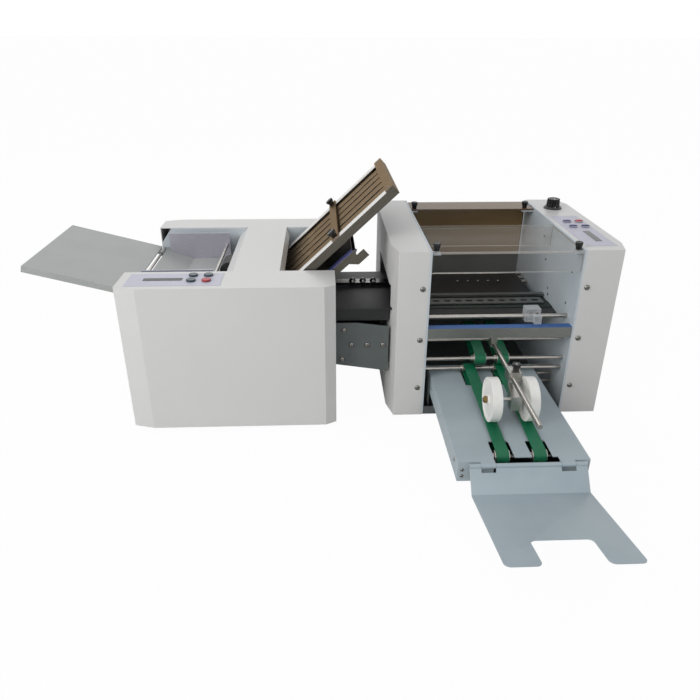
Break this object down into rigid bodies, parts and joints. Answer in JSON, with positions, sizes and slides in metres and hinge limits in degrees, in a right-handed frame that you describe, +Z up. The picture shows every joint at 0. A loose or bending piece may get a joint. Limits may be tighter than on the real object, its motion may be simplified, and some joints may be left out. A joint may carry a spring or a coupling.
{
  "type": "paper folding machine",
  "caption": "Desktop cross folding machine: sheet feeder with slanted fold plates, a bridge, and a cross fold unit with belt delivery and exit tray.",
  "frame": {"origin": "on the desk, under the middle of the machine's outline", "axes": "+X along the machine from the feed table to the cross fold unit, +Y to the rear, +Z up"},
  "size_m": [1.26, 1.04, 0.5115],
  "materials": {
    "cover_paint": "satin powder coat, warm off-white",
    "frame_paint": "satin powder coat, pale blue-grey",
    "bed_paint": "satin powder coat, blue-grey",
    "table_paint": "satin paint, grey-green",
    "base_paint": "satin paint, slate grey",
    "deck_paint": "satin black paint",
    "bright_steel": "ground bright",
    "plate_steel": "polished stainless",
    "guide_sheet": "anodised",
    "clear_acrylic": "clear polished acrylic",
    "tinted_acrylic": "brown tinted acrylic",
    "black_plastic": "moulded black",
    "roller_rubber": "ground black rubber",
    "green_belt": "satin green belt",
    "black_belt": "black belt",
    "white_plastic": "turned white plastic",
    "overlay": "printed film, lavender",
    "dark_button": "moulded, teal black",
    "blue_button": "moulded, dark blue",
    "red_button": "moulded, red",
    "motor_case": "black paint",
    "foot_rubber": "moulded"
  },
  "bodies": {
    "chassis": {"base_frame": "base_paint", "side_frames_feeder": "frame_paint", "side_frames_cross": "frame_paint", "cover_front": "cover_paint", "cover_rear": "cover_paint", "cover_left": "cover_paint", "cover_right": "cover_paint", "hood": "cover_paint", "feed_ramp": "table_paint", "control_panels": "overlay", "drive_motor": "motor_case", "drive_belt": "black_belt", "feet": "foot_rubber", "power_inlet": "black_plastic", "screws": "bright_steel", "sheet_decks": "deck_paint", "marble_bars": "bright_steel", "front_crossbar": "frame_paint", "steel_rods": "bright_steel", "green_belts": "green_belt", "delivery_bed": "bed_paint", "clear_cover": "clear_acrylic", "tinted_panel": "tinted_acrylic"},
    "feed_table": {"feed_table": "table_paint"},
    "side_guide_front": {"side_guide_front": "guide_sheet"},
    "side_guide_rear": {"side_guide_rear": "guide_sheet"},
    "feed_roller": {"feed_roller": "roller_rubber"},
    "fold_roller_2": {"fold_roller_2": "roller_rubber"},
    "fold_roller_1": {"fold_roller_1": "roller_rubber"},
    "fold_roller_3": {"fold_roller_3": "roller_rubber"},
    "fold_roller_4": {"fold_roller_4": "roller_rubber"},
    "motor_pulley": {"motor_pulley": "bright_steel"},
    "fold_plate_upper": {"fold_plate_upper": "plate_steel"},
    "stop_bar": {"stop_bar": "plate_steel"},
    "stop_knob_front": {"stop_knob_front": "black_plastic"},
    "stop_knob_rear": {"stop_knob_rear": "black_plastic"},
    "fold_plate_lower": {"fold_plate_lower": "plate_steel"},
    "feeder_button_1": {"feeder_button_1": "dark_button"},
    "feeder_button_2": {"feeder_button_2": "red_button"},
    "feeder_button_3": {"feeder_button_3": "dark_button"},
    "feeder_button_4": {"feeder_button_4": "dark_button"},
    "cross_button_1": {"cross_button_1": "blue_button"},
    "cross_button_2": {"cross_button_2": "blue_button"},
    "cross_button_3": {"cross_button_3": "red_button"},
    "cross_button_4": {"cross_button_4": "blue_button"},
    "dial_knob": {"dial_knob": "black_plastic"},
    "power_switch": {"power_switch": "black_plastic"},
    "clamp_block": {"clamp_block": "clear_acrylic"},
    "upper_shaft": {"upper_shaft": "bright_steel"},
    "rear_shaft": {"rear_shaft": "bright_steel"},
    "lower_shaft": {"lower_shaft": "bright_steel"},
    "front_pulleys": {"front_pulleys": "bright_steel"},
    "wheel_bracket": {"wheel_bracket": "bright_steel"},
    "bracket_knob": {"bracket_knob": "black_plastic"},
    "press_wheels": {"press_wheels": "white_plastic"},
    "exit_tray": {"exit_tray": "bed_paint"},
    "knob_front_left": {"knob_front_left": "black_plastic"},
    "knob_front_right": {"knob_front_right": "black_plastic"},
    "knob_rear_left": {"knob_rear_left": "black_plastic"},
    "knob_rear_right": {"knob_rear_right": "black_plastic"}
  },
  "joints": [
    {"name": "feed_table_fold", "type": "hinge", "parent": "chassis", "child": "feed_table", "pos_m": [-0.404, 0, 0.282], "axis": [0, 1, 0], "range_deg": [0, 75]},
    {"name": "side_guide_front_slide", "type": "slide", "parent": "chassis", "child": "side_guide_front", "axis": [0, 1, 0], "range_m": [0, 0.09]},
    {"name": "side_guide_rear_slide", "type": "slide", "parent": "chassis", "child": "side_guide_rear", "axis": [0, 1, 0], "range_m": [-0.09, 0]},
    {"name": "feed_roller_spin", "type": "hinge", "parent": "chassis", "child": "feed_roller", "pos_m": [-0.215, 0, 0.2845], "axis": [0, 1, 0], "continuous": true},
    {"name": "fold_roller_2_spin", "type": "hinge", "parent": "chassis", "child": "fold_roller_2", "pos_m": [-0.128, 0, 0.2532], "axis": [0, 1, 0], "continuous": true},
    {"name": "fold_roller_1_spin", "type": "hinge", "parent": "chassis", "child": "fold_roller_1", "pos_m": [-0.128, 0, 0.2815], "axis": [0, 1, 0], "continuous": true},
    {"name": "fold_roller_3_spin", "type": "hinge", "parent": "chassis", "child": "fold_roller_3", "pos_m": [-0.10141, 0, 0.24352], "axis": [0, 1, 0], "continuous": true},
    {"name": "fold_roller_4_spin", "type": "hinge", "parent": "chassis", "child": "fold_roller_4", "pos_m": [-0.07481, 0, 0.23384], "axis": [0, 1, 0], "continuous": true},
    {"name": "motor_pulley_spin", "type": "hinge", "parent": "chassis", "child": "motor_pulley", "pos_m": [-0.082, 0, 0.11], "axis": [0, 1, 0], "continuous": true},
    {"name": "fold_plate_upper_slide", "type": "slide", "parent": "chassis", "child": "fold_plate_upper", "axis": [0.729, 0, 0.6845], "range_m": [0, 0.15]},
    {"name": "stop_bar_slide", "type": "slide", "parent": "fold_plate_upper", "child": "stop_bar", "axis": [0.729, 0, 0.6845], "range_m": [-0.08, 0.13]},
    {"name": "stop_knob_front_turn", "type": "hinge", "parent": "stop_bar", "child": "stop_knob_front", "pos_m": [0.03191, 0.122, 0.39941], "axis": [-0.6845, 0, 0.729], "range_deg": [0, 360]},
    {"name": "stop_knob_rear_turn", "type": "hinge", "parent": "stop_bar", "child": "stop_knob_rear", "pos_m": [0.03191, 0.4, 0.39941], "axis": [-0.6845, 0, 0.729], "range_deg": [0, 360]},
    {"name": "fold_plate_lower_slide", "type": "slide", "parent": "chassis", "child": "fold_plate_lower", "axis": [0.729, 0, 0.6845], "range_m": [0, 0.1]},
    {"name": "feeder_button_1_press", "type": "slide", "parent": "chassis", "child": "feeder_button_1", "axis": [0, 0, -1], "range_m": [0, 0.0012], "stiffness_N_per_m": 600, "springref_m": -0.0006},
    {"name": "feeder_button_2_press", "type": "slide", "parent": "chassis", "child": "feeder_button_2", "axis": [0, 0, -1], "range_m": [0, 0.0012], "stiffness_N_per_m": 600, "springref_m": -0.0006},
    {"name": "feeder_button_3_press", "type": "slide", "parent": "chassis", "child": "feeder_button_3", "axis": [0, 0, -1], "range_m": [0, 0.0012], "stiffness_N_per_m": 600, "springref_m": -0.0006},
    {"name": "feeder_button_4_press", "type": "slide", "parent": "chassis", "child": "feeder_button_4", "axis": [0, 0, -1], "range_m": [0, 0.0012], "stiffness_N_per_m": 600, "springref_m": -0.0006},
    {"name": "cross_button_1_press", "type": "slide", "parent": "chassis", "child": "cross_button_1", "axis": [0, 0, -1], "range_m": [0, 0.0012], "stiffness_N_per_m": 600, "springref_m": -0.0006},
    {"name": "cross_button_2_press", "type": "slide", "parent": "chassis", "child": "cross_button_2", "axis": [0, 0, -1], "range_m": [0, 0.0012], "stiffness_N_per_m": 600, "springref_m": -0.0006},
    {"name": "cross_button_3_press", "type": "slide", "parent": "chassis", "child": "cross_button_3", "axis": [0, 0, -1], "range_m": [0, 0.0012], "stiffness_N_per_m": 600, "springref_m": -0.0006},
    {"name": "cross_button_4_press", "type": "slide", "parent": "chassis", "child": "cross_button_4", "axis": [0, 0, -1], "range_m": [0, 0.0012], "stiffness_N_per_m": 600, "springref_m": -0.0006},
    {"name": "dial_turn", "type": "hinge", "parent": "chassis", "child": "dial_knob", "pos_m": [0.58, 0.38, 0.394], "axis": [0, 0, 1], "range_deg": [0, 270]},
    {"name": "power_switch_rock", "type": "hinge", "parent": "chassis", "child": "power_switch", "pos_m": [-0.272, 0.513, 0.071], "axis": [1, 0, 0], "range_deg": [0, 16]},
    {"name": "clamp_block_slide", "type": "slide", "parent": "chassis", "child": "clamp_block", "axis": [1, 0, 0], "range_m": [-0.2, 0.055]},
    {"name": "upper_shaft_spin", "type": "hinge", "parent": "chassis", "child": "upper_shaft", "pos_m": [0, 0.06, 0.1396], "axis": [1, 0, 0], "continuous": true},
    {"name": "rear_shaft_spin", "type": "hinge", "parent": "chassis", "child": "rear_shaft", "pos_m": [0, 0.19, 0.158], "axis": [1, 0, 0], "continuous": true},
    {"name": "lower_shaft_spin", "type": "hinge", "parent": "chassis", "child": "lower_shaft", "pos_m": [0, 0.064, 0.1135], "axis": [1, 0, 0], "continuous": true},
    {"name": "front_pulleys_spin", "type": "hinge", "parent": "chassis", "child": "front_pulleys", "pos_m": [0, -0.237, 0.089], "axis": [1, 0, 0], "continuous": true},
    {"name": "wheel_bracket_slide", "type": "slide", "parent": "chassis", "child": "wheel_bracket", "axis": [0, 1, 0], "range_m": [-0.09, 0]},
    {"name": "bracket_knob_turn", "type": "hinge", "parent": "wheel_bracket", "child": "bracket_knob", "pos_m": [0.378, -0.102, 0.186], "axis": [0, 0, 1], "range_deg": [0, 360]},
    {"name": "press_wheels_spin", "type": "hinge", "parent": "wheel_bracket", "child": "press_wheels", "pos_m": [0.369, -0.142, 0.1541], "axis": [1, 0, 0], "continuous": true},
    {"name": "exit_tray_fold", "type": "hinge", "parent": "chassis", "child": "exit_tray", "pos_m": [0.36425, -0.277, 0.0975], "axis": [-1, 0, 0], "range_deg": [0, 70]},
    {"name": "knob_front_left_turn", "type": "hinge", "parent": "chassis", "child": "knob_front_left", "pos_m": [0.234, 0.048, 0.392], "axis": [0, 0, 1], "range_deg": [0, 360]},
    {"name": "knob_front_right_turn", "type": "hinge", "parent": "chassis", "child": "knob_front_right", "pos_m": [0.5248, 0.048, 0.392], "axis": [0, 0, 1], "range_deg": [0, 360]},
    {"name": "knob_rear_left_turn", "type": "hinge", "parent": "chassis", "child": "knob_rear_left", "pos_m": [0.234, 0.393, 0.392], "axis": [0, 0, 1], "range_deg": [0, 360]},
    {"name": "knob_rear_right_turn", "type": "hinge", "parent": "chassis", "child": "knob_rear_right", "pos_m": [0.5128, 0.393, 0.392], "axis": [0, 0, 1], "range_deg": [0, 360]}
  ],
  "couplings": [
    {"joint": "side_guide_rear_slide", "follows": "side_guide_front_slide", "ratio": -1},
    {"joint": "fold_roller_1_spin", "follows": "fold_roller_2_spin", "ratio": -1},
    {"joint": "fold_roller_3_spin", "follows": "fold_roller_2_spin", "ratio": -1},
    {"joint": "fold_roller_4_spin", "follows": "fold_roller_2_spin", "ratio": 1},
    {"joint": "motor_pulley_spin", "follows": "fold_roller_2_spin", "ratio": 1.3333},
    {"joint": "rear_shaft_spin", "follows": "upper_shaft_spin", "ratio": 1},
    {"joint": "lower_shaft_spin", "follows": "upper_shaft_spin", "ratio": -1.3333},
    {"joint": "front_pulleys_spin", "follows": "upper_shaft_spin", "ratio": -0.92308}
  ]
}
